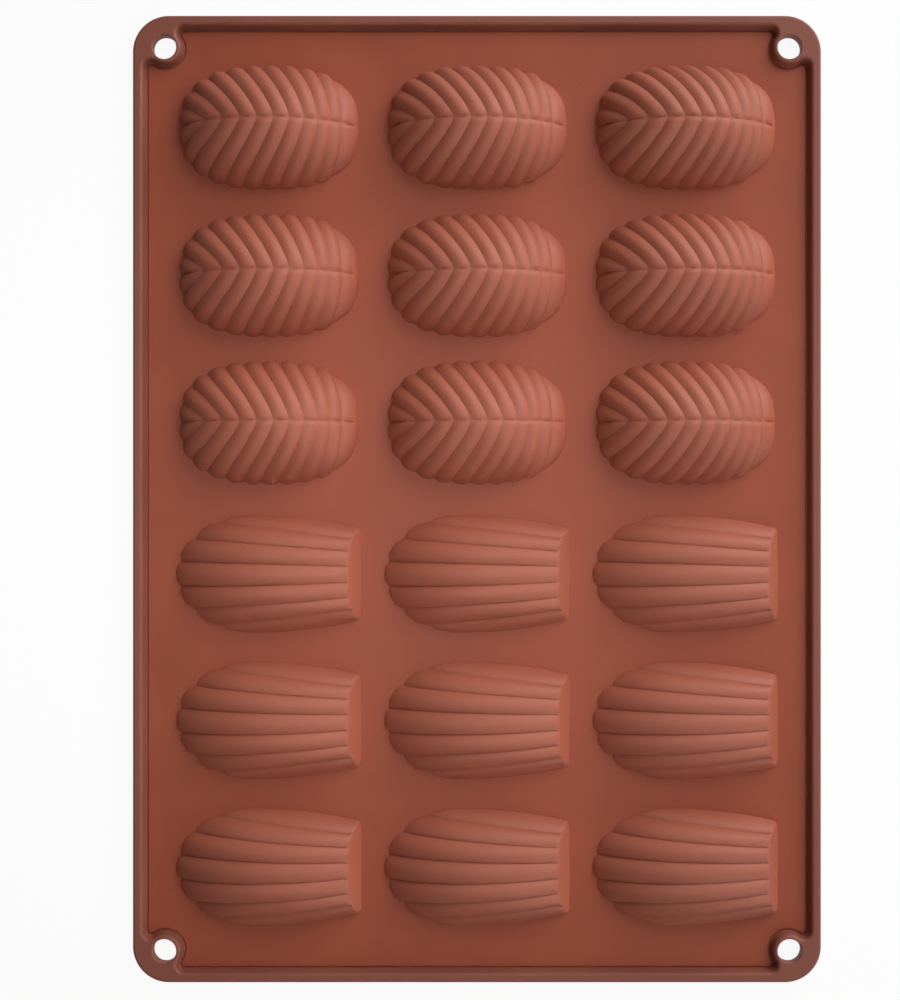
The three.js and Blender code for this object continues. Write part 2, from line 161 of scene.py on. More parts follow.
Length = property_of(FloatProperty, min=0.0, unit="LENGTH", precision=5)
Share = property_of(FloatProperty, min=0.0, precision=3)
Number = property_of(FloatProperty, min=0.0)
Angle = property_of(FloatProperty, min=0.0, subtype="ANGLE")
Count = property_of(IntProperty, min=1)
Colour = property_of(FloatVectorProperty, min=0.0, max=1.0, size=3, subtype="COLOR")
Place = property_of(FloatVectorProperty, size=3, subtype="TRANSLATION")
Shift = property_of(FloatVectorProperty, size=2)


class CupFoot:
    """Sizes of the foot, the same for both kinds of cup."""

    web_top: Length("Web top", "Height of the web's upper face, where the foot stands", WEB_TOP)
    lip: Length("Lip", "Flat ring round the foot, level with the web", LIP)
    # Painted sheen: from this height over the web upwards, the cups take the paler brown that
    # stands in for the satin's reflection of the light.
    bloom_height: Length("Bloom height", "Height over the web where the pale bloom is full", 0.0005)
    groove_height: Length("Groove height", "Height over the web where the grooves are full", 0.003)


class LeafCupSizes(CupFoot, bpy.types.PropertyGroup):
    """Sizes of a leaf cup."""

    length: Length("Length", "From the tip to the stem end, at the foot", LEAF_SIZE.x)
    width: Length("Width", "Across the leaf, at the foot", LEAF_SIZE.y)
    height: Length("Height", "From the web to the crown", LEAF_SIZE.z)
    bluntness: Share("Bluntness", "Power of the outline, 2 for an ellipse", 2.6)
    fullness: Share("Fullness", "Power of the dome's height", 1.5)
    ribs: Count("Ribs", "On each side of the vein, the last one wraps the stem end", 11)
    ribbed_share: Share("Ribbed share", "Share of the half outline with slanted ribs", 0.765)
    tip_crowding: Share("Tip crowding", "How much closer the ribs stand at the tip's foot", 0.65)
    groove_depth: Length("Groove depth", "Depth of the grooves between ribs", 0.00115)
    foot_grooves: Share("Foot grooves", "Share of the grooves' depth that is left at the foot", 0.7)
    crease: Share("Crease", "Share of the grooves' depth that is a fine crease", 0.12)
    vein_depth: Length("Vein depth", "Depth of the crease along the vein", 0.0006)
    vein_reach: Length("Vein reach", "How far the crease spreads to each side", 0.0015)
    tip_to_vein: Length("Tip to vein", "From the tip to the vein's first rib", 0.0029)
    stem_to_vein: Length("Stem to vein", "From the vein's last rib to the stem end", 0.0011)
    crowding: Share("Crowding", "How much closer the ribs stand at the stem end", 0.38)
    slant_bend: Share("Slant bend", "Power of a groove's path from the vein, 1 for straight", 1.3)
    stem_bend: Share("Stem bend", "Extra bend of the grooves at the stem end", 2.5)
    stem_bend_onset: Share("Stem bend onset", "Power that keeps the extra bend near the stem", 5.0)
    rib_steps: Count("Rib steps", "Facets across each rib", 12)
    rows: Count("Rows", "Facets from the vein to the foot", 28)


class ShellCupSizes(CupFoot, bpy.types.PropertyGroup):
    """Sizes of a shell cup."""

    length: Length("Length", "From the round tip to the flat end, at the foot", SHELL_SIZE.x)
    width: Length("Width", "Across the widest place, at the foot", SHELL_SIZE.y)
    height: Length("Height", "From the web to the crown", SHELL_SIZE.z)
    end_width: Length("End width", "Across the flat end, at the foot", 0.0284)
    round_length: Length("Round length", "From the round tip to the widest place", 0.0234)
    end_height: Length("End height", "Top edge of the sloping flat end above the web", 0.007)
    end_slope: Length("End slope", "Run of the sloping flat end, seen from above", 0.0037)
    end_round: Length("End rounding", "Spread of the rounded top edge of the flat end", 0.0014)
    crest_length: Length("Crest length", "From the round tip to the highest place", 0.0302)
    corner_round: Length("Corner rounding", "Set-back of the corners of the flat end", 0.001)
    fullness: Share("Fullness", "Power of the dome across its width, at the round tip", 2.6)
    end_fullness: Share("End fullness", "Power of the dome across its width, at the flat end", 5.0)
    tip_fullness: Share("Tip fullness", "How full the dome stands over the round tip", 1.25)
    ribs: Count("Ribs", "Ribs from one side to the other", 7)
    tip_groove_depth: Length("Tip groove depth", "Depth of the grooves at the round tip", 0.0017)
    groove_depth: Length("End groove depth", "Depth of the grooves at the flat end", 0.0008)
    foot_grooves: Share("Foot grooves", "Share of the grooves' depth that is left at the foot", 0.6)
    crease: Share("Crease", "Share of the grooves' depth that is a fine crease", 0.32)
    rib_steps: Count("Rib steps", "Facets across each rib", 14)
    rows: Count("Rows", "Facets from the round tip to the flat end", 72)


class SheetSizes(bpy.types.PropertyGroup):
    """Sizes of the web, the rim and the corner eyelets."""

    rim_width: Length("Rim width", "Across the foot of the rim", 0.0038)
    rim_lean: Length("Rim lean", "How far the inner wall leans from its foot to the crest", 0.001)
    crest_round: Length("Crest rounding", "Radius of the crest's outer edge", 0.0008)
    bead_round: Length("Bead rounding", "Radius of the crest's inner edge", 0.0011)
    foot_round: Length("Foot rounding", "Radius of the outer edge on the open face", 0.0003)
    channel_width: Length("Channel width", "Across the channel along the foot of the rim", 0.0006)
    channel_depth: Length("Channel depth", "Depth of the channel under the web's top", 0.00045)
    channel_round: Length("Channel rounding", "Radius of the channel's floor", 0.00015)
    channel_edge: Length("Channel edge", "Radius where the channel runs out into the web", 0.0004)
    corner_radius: Length("Corner radius", "Radius of the sheet's outer corners", 0.011)
    eyelet_inset: Length("Eyelet inset", "From the hole's centre to the outer edges", 0.0096)
    hole_radius: Length("Hole radius", "Radius of the hanging holes", 0.00365)
    hole_round: Length("Hole rounding", "Radius of the upper edges of the hanging holes", 0.0003)
    ring_wall: Length("Ring wall", "Silicone round a hanging hole", 0.00215)
    ring_fillet: Length("Ring fillet", "Radius where an eyelet's ring runs into the rim", 0.0015)
    bend_reach: Length("Bend reach", "Half width of the strip that bends at the fold", 0.0034)
    mesh_step: Length("Mesh step", "Spacing of the net of points on the web", 0.004)
    arc_steps: Count("Arc steps", "Facets of each rounded edge", 6)


class SiliconeFinish(bpy.types.PropertyGroup):
    """Colours and texture of the silicone."""

    brown: Colour("Brown", "Colour of the web", (0.3025, 0.0575, 0.022))
    deep_brown: Colour("Deep brown", "Darker clouds in the web", (0.2795, 0.0515, 0.019))
    # The paler brown of the cup backs is painted sheen, standing in for the satin's reflection of
    # the light.
    bloom_brown: Colour("Bloom brown", "Colour of the paler cup backs", (0.328, 0.087, 0.049))
    frosted_brown: Colour("Frosted brown", "Rubbed silicone of the rim", (0.222, 0.062, 0.038))
    speck_brown: Colour("Speck brown", "Colour of dust specks", (0.110, 0.032, 0.022))
    gloss: Share("Gloss", "Strength of the satin's reflections", 0.45)
    roughness_low: Share("Least roughness", "Roughness where the satin shines most", 0.56)
    roughness_high: Share("Most roughness", "Roughness where the satin is dullest", 0.66)
    grain: Length("Grain", "Size of the satin grain of the surface", 0.0004)
    grain_height: Length("Grain height", "Height of the satin grain", 0.000004)
    cloud: Length("Cloud", "Size of the colour clouds", 0.02)
    speck_spacing: Length("Speck spacing", "Distance between dust specks", 0.011)
    speck_radius: Length("Speck radius", "Size of a dust speck", 0.0003)


class StageSettings(bpy.types.PropertyGroup):
    """Camera, lights and floor."""

    camera_place: Place("Camera place", "Above the mould, looking down", (0.0089, -0.0041, 0.5212))
    camera_shift: Shift("Camera shift", "Shift of the picture, in longer sides", (-0.0561, 0.0125))
    camera_lens: Number("Lens", "Focal length in millimetres", 61.07)
    key_place: Place("Key place", "Middle of the soft window of light", (0.722, 0.802, 0.526))
    key_power: Number("Key power", "Power of the window in watts", 19.0)
    side_place: Place("Side place", "Middle of the weaker window beside it", (0.681, -0.812, 0.563))
    side_power: Number("Side power", "Power of the side window in watts", 7.3)
    window_size: Length("Window size", "Side of each soft window of light", 1.1)
    lamp_place: Place("Lamp place", "Place of the lamp over the mould", (-0.025, 0.0, 0.8))
    lamp_size: Length("Lamp size", "Side of the lamp over the middle", 0.1)
    lamp_power: Number("Lamp power", "Power of the lamp in watts", 0.073)
    lamp_spread: Angle("Lamp spread", "Angle of the lamp's cone", math.radians(30))
    sky: Number("Sky", "Brightness of the room", 0.1)
    floor_size: Length("Floor size", "Side of the floor", 40.0)
    floor_drop: Length("Floor drop", "How far the floor lies under the open face", 0.0003)
    floor_glow: Share("Floor glow", "Share of plain white in the floor as the camera sees it", 0.92)


def operator_of(operation, swapped=False):
    """A method of Field that adds the math node of an operation."""
    def method(self, *others):
        values = (*others, self) if swapped else (self, *others)
        return calculate(self.tree, operation, *values)
    return method


class Field:
    """A value in a node tree that takes part in plain sums."""

    __add__ = operator_of("ADD")
    __radd__ = operator_of("ADD", swapped=True)
    __sub__ = operator_of("SUBTRACT")
    __rsub__ = operator_of("SUBTRACT", swapped=True)
    __mul__ = operator_of("MULTIPLY")
    __rmul__ = operator_of("MULTIPLY", swapped=True)
    __truediv__ = operator_of("DIVIDE")
    __rtruediv__ = operator_of("DIVIDE", swapped=True)
    __pow__ = operator_of("POWER")
    __lt__ = operator_of("LESS_THAN")
    __gt__ = operator_of("GREATER_THAN")
    __abs__ = operator_of("ABSOLUTE")

    def __init__(self, tree, socket):
        self.tree = tree
        self.socket = socket

    def calculated(self, operation, *others):
        return calculate(self.tree, operation, self, *others)


def feed(tree, value, socket):
    """Links a field to a socket, or writes a plain value into it."""
    if isinstance(value, Field):
        tree.links.new(value.socket, socket)
    else:
        socket.default_value = value


def calculate(tree, operation, *values):
    """Adds a math node and gives its result."""
    node = tree.nodes.new("ShaderNodeMath")
    node.operation = operation
    for value, socket in zip(values, node.inputs):
        feed(tree, value, socket)
    return Field(tree, node.outputs[0])


def add_node(tree, kind, feeds, output=0, **settings):
    """Adds a node and gives one of its outputs."""
    node = tree.nodes.new(kind)
    for key, value in settings.items():
        setattr(node, key, value)
    for name, value in feeds.items():
        feed(tree, value, node.inputs[name])
    return Field(tree, node.outputs[output])


def chosen(test, if_true, if_false):
    """One value where the test holds and the other one elsewhere."""
    return if_false + test * (if_true - if_false)


def size_properties(sizes):
    return [p for p in sizes.bl_rna.properties if p.identifier not in ("rna_type", "name")]


class RuleTree:
    """A Geometry Nodes tree whose named inputs are the sizes of one property group."""

    def __init__(self, name, sizes):
        self.tree = bpy.data.node_groups.new(name, "GeometryNodeTree")
        self.identifiers = {}
        for size in size_properties(sizes):
            kind = "NodeSocketInt" if size.type == "INT" else "NodeSocketFloat"
            self.identifiers[size.identifier] = self.input(size.name, kind)
        self.identifiers["centre"] = self.input("Centre", "NodeSocketVector")
        self.identifiers["material"] = self.input("Material", "NodeSocketMaterial")
        kind = "NodeSocketGeometry"
        self.tree.interface.new_socket("Geometry", in_out="OUTPUT", socket_type=kind)
        entry = self.tree.nodes.new("NodeGroupInput")
        outputs = {socket.identifier: socket for socket in entry.outputs}
        self.size = {key: Field(self.tree, outputs[i]) for key, i in self.identifiers.items()}

    def input(self, name, kind):
        return self.tree.interface.new_socket(name, in_out="INPUT", socket_type=kind).identifier

    def node(self, kind, feeds, output=0, **settings):
        return add_node(self.tree, kind, feeds, output, **settings)

    def vector(self, x, y, z):
        return self.node("ShaderNodeCombineXYZ", {"X": x, "Y": y, "Z": z})

    def parts(self, vector):
        node = self.tree.nodes.new("ShaderNodeSeparateXYZ")
        feed(self.tree, vector, node.inputs[0])
        return [Field(self.tree, socket) for socket in node.outputs]

    def position(self):
        return self.node("GeometryNodeInputPosition", {})

    def scaled(self, vector, factor):
        feeds = {"Vector": vector, "Scale": factor}
        return self.node("ShaderNodeVectorMath", feeds, operation="SCALE")

    def joined(self, *geometries):
        node = self.tree.nodes.new("GeometryNodeJoinGeometry")
        for geometry in geometries:
            feed(self.tree, geometry, node.inputs[0])
        return Field(self.tree, node.outputs[0])

    def placed(self, geometry, position, **limits):
        feeds = {"Geometry": geometry, "Position": position, **limits}
        return self.node("GeometryNodeSetPosition", feeds)

    def stored(self, geometry, name, value, kind="FLOAT", **limits):
        feeds = {"Geometry": geometry, "Name": name, "Value": value, **limits}
        return self.node("GeometryNodeStoreNamedAttribute", feeds, data_type=kind, domain="POINT")

    def recalled(self, name, kind="FLOAT"):
        return self.node("GeometryNodeInputNamedAttribute", {"Name": name}, data_type=kind)

    def net(self, columns, rows, width):
        """A grid of facets with coordinates: 0 to width, crowded at whole numbers, and 0 to 1."""
        feeds = {"Size X": width, "Size Y": 1.0, "Vertices X": columns + 1, "Vertices Y": rows + 1}
        grid = self.node("GeometryNodeMeshGrid", feeds)
        x, y, _ = self.parts(self.position())
        even = x + width / 2
        wave = (even * FULL_TURN).calculated("SINE")
        crowded = even - wave * (GROOVE_CROWDING / FULL_TURN)
        return grid, crowded, y + 0.5

    def border(self):
        """True on the open border of a skin."""
        return self.node("GeometryNodeInputMeshEdgeNeighbors", {}) < OPEN_EDGE

    def grooved(self, back, depth):
        """Sinks grooves into a dome along its normals, less at its foot, which stays on the web."""
        normal = self.node("GeometryNodeInputNormal", {})
        x, y, z = self.parts(self.position())
        full = ((z - self.size["web_top"]) / self.size["groove_height"]).calculated("MINIMUM", 1.0)
        share = self.size["foot_grooves"] + (1 - self.size["foot_grooves"]) * full
        offset = self.scaled(normal, 0.0 - depth * share)
        sunk = self.node("GeometryNodeSetPosition", {"Geometry": back, "Offset": offset})
        raised = self.placed(sunk, self.vector(x, y, z.calculated("MAXIMUM", self.size["web_top"])))
        return self.placed(raised, self.vector(x, y, self.size["web_top"]), Selection=self.border())

    def lipped(self, back):
        """Runs the foot of a dome out to its lip, level with the web."""
        node = self.tree.nodes.new("GeometryNodeExtrudeMesh")
        node.mode = "EDGES"
        feed(self.tree, back, node.inputs["Mesh"])
        feed(self.tree, self.border(), node.inputs["Selection"])
        feed(self.tree, 0.0, node.inputs["Offset Scale"])
        skin = Field(self.tree, node.outputs["Mesh"])
        edge = Field(self.tree, node.outputs["Top"])
        return self.placed(skin, self.recalled("lip", "FLOAT_VECTOR"), Selection=edge)

    def finished(self, skin):
        """Puts a skin in its place, makes it plain mesh and gives it its finish."""
        _, _, z = self.parts(self.position())
        # Share of painted sheen: none on the web, all from a little above it.
        painted_sheen = ((z - self.size["web_top"]) / self.size["bloom_height"]).calculated("MINIMUM", 1.0)
        marked = self.stored(skin, PAINTED_SHEEN, painted_sheen)
        feeds = {"Geometry": marked, "Offset": self.size["centre"]}
        moved = self.node("GeometryNodeSetPosition", feeds)
        smooth = self.node("GeometryNodeSetShadeSmooth", {"Geometry": moved, "Shade Smooth": True})
        plain = self.node("GeometryNodeRealizeInstances", {"Geometry": smooth})
        feeds = {"Geometry": plain, "Material": self.size["material"]}
        dressed = self.node("GeometryNodeSetMaterial", feeds)
        exit_node = self.tree.nodes.new("NodeGroupOutput")
        feed(self.tree, dressed, exit_node.inputs[0])
        return self


def groove_share(rib, crease):
    """Share of a groove's depth by a place in ribs: nothing on a rib's crown, all at its edges.

    It is a broad hollow with a share of fine crease.
    """
    from_crown = abs(2 * rib.calculated("FRACT") - 1)
    hollow = from_crown ** 2.0 * (1.5 - 0.5 * from_crown ** 2.0)
    return (1 - crease) * hollow + crease * from_crown ** CREASE_POWER


def leaf_cup_tree(sizes):
    """A blunt oval dome with slanted ribs on both sides of its vein."""
    rule = RuleTree("leaf cup", sizes)
    size = rule.size
    half_length = size["length"] / 2
    half_width = size["width"] / 2

    def outline(margin):
        """Upper half of the foot's outline from the tip to the stem end, with a margin round it."""
        line = rule.node("GeometryNodeCurvePrimitiveLine", {})
        feeds = {"Curve": line, "Count": LEAF_OUTLINE_POINTS}
        curve = rule.node("GeometryNodeResampleCurve", feeds)
        index = rule.node("GeometryNodeInputIndex", {})
        turn = math.pi * (1 - index / (LEAF_OUTLINE_POINTS - 1))
        cosine = turn.calculated("COSINE")
        blunt = 2 / size["bluntness"]
        x = (half_length + margin) * cosine.calculated("SIGN") * abs(cosine) ** blunt
        y = (half_width + margin) * abs(turn.calculated("SINE")) ** blunt
        return rule.placed(curve, rule.vector(x, y, size["web_top"]))

    def along(curve, share):
        feeds = {"Curves": curve, "Factor": share}
        settings = {"mode": "FACTOR", "use_all_curves": True}
        return rule.node("GeometryNodeSampleCurve", feeds, output="Position", **settings)

    net, rib, row = rule.net(size["ribs"] * size["rib_steps"], size["rows"], size["ribs"])
    by_vein = row < 1 / size["rows"]
    tip_corner = by_vein * (rib < 1 / size["rib_steps"])
    stem_corner = by_vein * (rib > size["ribs"] - 1 / size["rib_steps"])
    for corner, cut in ((tip_corner, "FIXED"), (stem_corner, "FIXED_ALTERNATE")):
        feeds = {"Mesh": net, "Selection": corner}
        net = rule.node("GeometryNodeTriangulate", feeds, quad_method=cut)
    across = (row ** VEIN_CROWDING * QUARTER_TURN).calculated("SINE")
    slanted = size["ribs"] - 1
    ribbed = rib.calculated("MINIMUM", slanted) / slanted
    wrapped = (rib - slanted).calculated("MAXIMUM", 0.0)
    spread = ribbed + size["tip_crowding"] * ribbed ** 2.0 * (1 - ribbed) ** 3.0
    foot_share = spread * size["ribbed_share"] + wrapped * (1 - size["ribbed_share"])
    foot_x, foot_y, _ = rule.parts(along(outline(0.0), foot_share))
    lip_x, lip_y, lip_z = rule.parts(along(outline(size["lip"]), foot_share))

    share = rib / size["ribs"]
    vein_start = size["tip_to_vein"] - half_length
    vein_length = size["length"] - size["tip_to_vein"] - size["stem_to_vein"]
    vein_x = vein_start + vein_length * share * (1 + size["crowding"] * (1 - share))
    bend = size["slant_bend"] + size["stem_bend"] * share ** size["stem_bend_onset"]
    x = vein_x + (foot_x - vein_x) * across ** bend
    y = foot_y * across
    outward = abs(x / half_length) ** size["bluntness"] + abs(y / half_width) ** size["bluntness"]
    inside = (1 - outward ** (2 / size["bluntness"])).calculated("MAXIMUM", 0.0)
    z = size["web_top"] + size["height"] * inside ** (1 / size["fullness"])

    grooves = size["groove_depth"] * groove_share(rib, size["crease"]) * across ** GROOVE_ONSET
    grooves = grooves * (rib < size["ribs"] - 0.5)
    crease = (1 - y / size["vein_reach"]).calculated("MAXIMUM", 0.0) ** 2.0
    depth = grooves + size["vein_depth"] * crease * (1 - across)

    marked = rule.stored(net, "depth", depth)
    sides = []
    for side in (1.0, -1.0):
        lip = rule.vector(lip_x, lip_y * side, lip_z)
        lipped = rule.stored(marked, "lip", lip, "FLOAT_VECTOR")
        sides.append(rule.placed(lipped, rule.vector(x, y * side, z)))
    lower = rule.node("GeometryNodeFlipFaces", {"Mesh": sides[1]})
    both = rule.joined(sides[0], lower)
    back = rule.node("GeometryNodeMergeByDistance", {"Geometry": both, "Distance": WELD})
    return rule.finished(rule.lipped(rule.grooved(back, rule.recalled("depth"))))


def shell_cup_tree(sizes):
    """A scalloped dome, round on the left, that tapers to a sloping flat end on the right."""
    rule = RuleTree("shell cup", sizes)
    size = rule.size
    half_length = size["length"] / 2
    half_width = size["width"] / 2
    narrowing = (size["width"] - size["end_width"]) / 2
    widest = size["round_length"] - half_length
    crest = size["crest_length"] - half_length
    end_top = half_length - size["end_slope"]

    net, rib, row = rule.net(size["ribs"] * size["rib_steps"], size["rows"], size["ribs"])
    run = row - (row * FULL_TURN).calculated("SINE") * (END_CROWDING / FULL_TURN)
    place = 2 * rib / size["ribs"] - 1
    fan = place * QUARTER_TURN
    fan_x = fan.calculated("COSINE")
    fan_y = fan.calculated("SINE")
    end_share = (place * END_FAN).calculated("SINE") / math.sin(END_FAN)
    tip_x = widest - size["round_length"] * fan_x
    end_x = half_length - size["corner_round"] * abs(end_share) ** CORNER_POWER
    x = tip_x + (end_x - tip_x) * run
    tip_y = half_width * fan_y
    straight_y = tip_y + (size["end_width"] / 2 * end_share - tip_y) * run
    y = straight_y + narrowing * place * run * (1 - run)

    tip_power = 1 / size["tip_fullness"]
    end_rise = (size["end_height"] / size["height"]) ** size["tip_fullness"]
    back_length = (end_top - crest) / (1 - end_rise) ** 0.5
    reach = chosen(x < crest, size["crest_length"], back_length)
    lengthwise = (1 - ((x - crest) / reach) ** 2.0).calculated("MAXIMUM", 0.0) ** tip_power
    round_share = (1 - ((x - widest) / size["round_length"]) ** 2.0).calculated("MAXIMUM", 0.0)
    round_edge = round_share ** 0.5 * half_width
    side_length = size["length"] - size["round_length"]
    side_edge = half_width - narrowing * ((x - widest) / side_length) ** 2.0
    edge = chosen(x < widest, round_edge, side_edge)
    fullness = size["fullness"] + (size["end_fullness"] - size["fullness"]) * run ** 2.0
    aside = (abs(y) / edge).calculated("MINIMUM", 1.0) ** fullness
    dome = size["height"] * lengthwise * (1 - aside)
    slope = (end_x - x) * size["end_height"] / size["end_slope"]
    rise = dome.calculated("SMOOTH_MIN", slope, size["end_round"]).calculated("MAXIMUM", 0.0)

    before_end = (slope - dome) / size["end_round"] + END_FADE
    fade = before_end.calculated("MAXIMUM", 0.0).calculated("MINIMUM", 1.0)
    between_ribs = abs(place) < 1 - 1 / size["ribs"]
    tip_depth = size["tip_groove_depth"] * (1 - SIDE_FADE * place ** 2.0)
    groove_depth = tip_depth + (size["groove_depth"] - tip_depth) * run
    grooves = groove_depth * groove_share(rib, size["crease"]) * between_ribs
    depth = grooves * fade * fade * (3 - 2 * fade)

    at_end = run > 1 - ROW_END
    at_tip = run < ROW_END
    lip_x = x + size["lip"] * (at_end - at_tip * fan_x)
    lip_y = y + size["lip"] * chosen(at_end, end_share, fan_y)
    marked = rule.stored(net, "depth", depth)
    lip = rule.vector(lip_x, lip_y, size["web_top"])
    lipped = rule.stored(marked, "lip", lip, "FLOAT_VECTOR")
    back = rule.placed(lipped, rule.vector(x, y, size["web_top"] + rise))
    upright = rule.node("GeometryNodeFlipFaces", {"Mesh": back})
    return rule.finished(rule.lipped(rule.grooved(upright, rule.recalled("depth"))))


def silicone_material(finish):
    """Satin brown silicone: soft clouds of colour, painted sheen on the cup backs, a fine grain, a
    few specks and a rubbed rim.
    """
    material = bpy.data.materials.get("satin_brown_silicone")
    if material:
        return material
    material = bpy.data.materials.new("satin_brown_silicone")
    material.use_nodes = True
    tree = material.node_tree
    shader = tree.nodes["Principled BSDF"]

    def node(kind, feeds, output=0, **settings):
        return add_node(tree, kind, feeds, output, **settings)

    def mixed(share, start, end):
        """Mixes two colours. Its sockets go by number, because several have the same name."""
        made = tree.nodes.new("ShaderNodeMix")
        made.data_type = "RGBA"
        feed(tree, share, made.inputs[0])
        feed(tree, start, made.inputs[6])
        feed(tree, end, made.inputs[7])
        return Field(tree, made.outputs[2])

    place = node("ShaderNodeTexCoord", {}, output="Object")
    feeds = {"Vector": place, "Scale": 1 / finish.cloud, "Detail": CLOUD_DETAIL}
    clouds = node("ShaderNodeTexNoise", feeds)
    feeds = {"Vector": place, "Scale": 1 / finish.grain, "Detail": GRAIN_DETAIL}
    grain = node("ShaderNodeTexNoise", feeds)
    feeds = {"Value": clouds, "From Min": CLOUD_SPAN[0], "From Max": CLOUD_SPAN[1]}
    cloud_share = node("ShaderNodeMapRange", feeds)
    brown = mixed(cloud_share, (*finish.deep_brown, 1.0), (*finish.brown, 1.0))

    # Painted sheen: by that share, the cup backs are mixed towards the paler brown.
    painted_sheen = node("ShaderNodeAttribute", {}, output="Fac", attribute_name=PAINTED_SHEEN)
    cups = mixed(painted_sheen, brown, (*finish.bloom_brown, 1.0))
    crest = node("ShaderNodeAttribute", {}, output="Fac", attribute_name=CREST)
    rim = mixed(crest, cups, (*finish.frosted_brown, 1.0))

    feeds = {"Vector": place, "Scale": 1 / finish.speck_spacing}
    distance = node("ShaderNodeTexVoronoi", feeds, output="Distance")
    speck_edge = finish.speck_radius / finish.speck_spacing
    feeds = {"Value": distance, "From Min": speck_edge, "From Max": speck_edge / 2}
    speck = node("ShaderNodeMapRange", feeds, interpolation_type="SMOOTHSTEP")
    coloured = mixed(speck, rim, (*finish.speck_brown, 1.0))
    feed(tree, coloured, shader.inputs["Base Color"])

    shader.inputs["Specular IOR Level"].default_value = finish.gloss
    feeds = {"Value": clouds, "To Min": finish.roughness_low, "To Max": finish.roughness_high}
    feed(tree, node("ShaderNodeMapRange", feeds), shader.inputs["Roughness"])
    feeds = {"Height": grain, "Distance": finish.grain_height, "Strength": 1.0}
    feed(tree, node("ShaderNodeBump", feeds), shader.inputs["Normal"])
    return material


def new_object(name, mesh):
    made = bpy.data.objects.new(name, mesh)
    bpy.context.scene.collection.objects.link(made)
    return made


def cup_mesh(rule, sizes, centre, material, name):
    """Plain mesh of one cup at its centre: the skin of its rule with the web's thickness."""
    holder = new_object(name, bpy.data.meshes.new(name))
    skin = holder.modifiers.new("cup", "NODES")
    skin.node_group = rule.tree
    for size in size_properties(sizes):
        skin[rule.identifiers[size.identifier]] = getattr(sizes, size.identifier)
    skin[rule.identifiers["centre"]] = centre
    skin[rule.identifiers["material"]] = material
    wall = holder.modifiers.new("wall", "SOLIDIFY")
    wall.thickness = sizes.web_top
    wall.offset = -1.0
    evaluated = holder.evaluated_get(bpy.context.evaluated_depsgraph_get())
    mesh = bpy.data.meshes.new_from_object(evaluated)
    bpy.data.objects.remove(holder)
    if not mesh.polygons:
        raise RuntimeError(f"{name} came out empty")
    for attribute in ("depth", "lip"):
        mesh.attributes.remove(mesh.attributes[attribute])
    mesh.set_sharp_from_angle(angle=SHARP_ANGLE)
    return mesh


def make_cups(nodes, kind, rule, sizes, material):
    """One cup for each node, made at the middle of the node's box, which it hides."""
    for node in nodes:
        low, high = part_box(node)
        centre = ((low.x + high.x) / 2, (low.y + high.y) / 2, 0.0)
        place = node.rsplit("_", 1)[1]
        name = f"{kind}_cup_skin_{place}"
        cup = new_object(name, cup_mesh(rule, sizes, centre, material, name))
        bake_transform(cup)
        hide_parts(node)


def lip_outline(cup):
    """The outer edge of a cup's lip on the web, anticlockwise seen from above."""
    mesh = cup.data
    place = [v.co.copy() for v in mesh.vertices]
    upper = [abs(p.z - WEB_TOP) < LEVEL for p in place]
    lower = [abs(p.z) < OPEN_FACE for p in place]
    following = {}
    for face in mesh.polygons:
        corners = list(face.vertices)
        below = sum(lower[i] for i in corners)
        above = sum(upper[i] for i in corners)
        if len(corners) == 4 and below == above == 2:
            first = next(k for k in range(4) if upper[corners[k]] and upper[corners[k - 1]])
            following[corners[first]] = corners[first - 1]
    index = start = min(following)
    outline = []
    while not outline or index != start:
        outline.append(place[index])
        index = following[index]
    return outline


class Skin:
    """Points, faces and corner normals of a skin that is put together from bands and flat faces."""

    def __init__(self):
        self.points = []
        self.faces = []
        self.normals = []

    def loop(self, points):
        first = len(self.points)
        self.points.extend(points)
        return list(range(first, len(self.points)))

    def band(self, first, last, first_normals, last_normals):
        """Faces between two closed loops of as many points."""
        count = len(first)
        for i in range(count):
            j = (i + 1) % count
            self.faces.append((first[i], first[j], last[j], last[i]))
            self.normals.extend((first_normals[i], first_normals[j]))
            self.normals.extend((last_normals[j], last_normals[i]))

    def flat(self, outline, holes, net, facing):
        """Level face inside an outline, with holes, through a net of inner points."""
        inner = self.loop(net)
        rings = []
        order = []
        for ring in (outline, *holes):
            rings.append(list(range(len(order), len(order) + len(ring))))
            order.extend(ring)
        order.extend(inner)
        places = [Vector(self.points[i][:2]) * MILLIMETRES for i in order]
        cut = delaunay_2d_cdt(places, [], rings, INSIDE_ONLY, CUT_WELD)
        _, _, triangles, origins, _, insides = cut
        for triangle, inside in zip(triangles, insides):
            if inside != [0]:
                continue
            corners = [order[origins[i][0]] for i in triangle]
            self.faces.append(tuple(corners if facing > 0 else reversed(corners)))
            self.normals.extend([(0.0, 0.0, facing)] * 3)

    def mesh(self, name):
        used = sorted({i for face in self.faces for i in face})
        new_index = {old: new for new, old in enumerate(used)}
        made = bpy.data.meshes.new(name)
        faces = [[new_index[i] for i in face] for face in self.faces]
        made.from_pydata([self.points[i] for i in used], [], faces)
        made.polygons.foreach_set("use_smooth", [True] * len(made.polygons))
        made.normals_split_custom_set(self.normals)
        return made


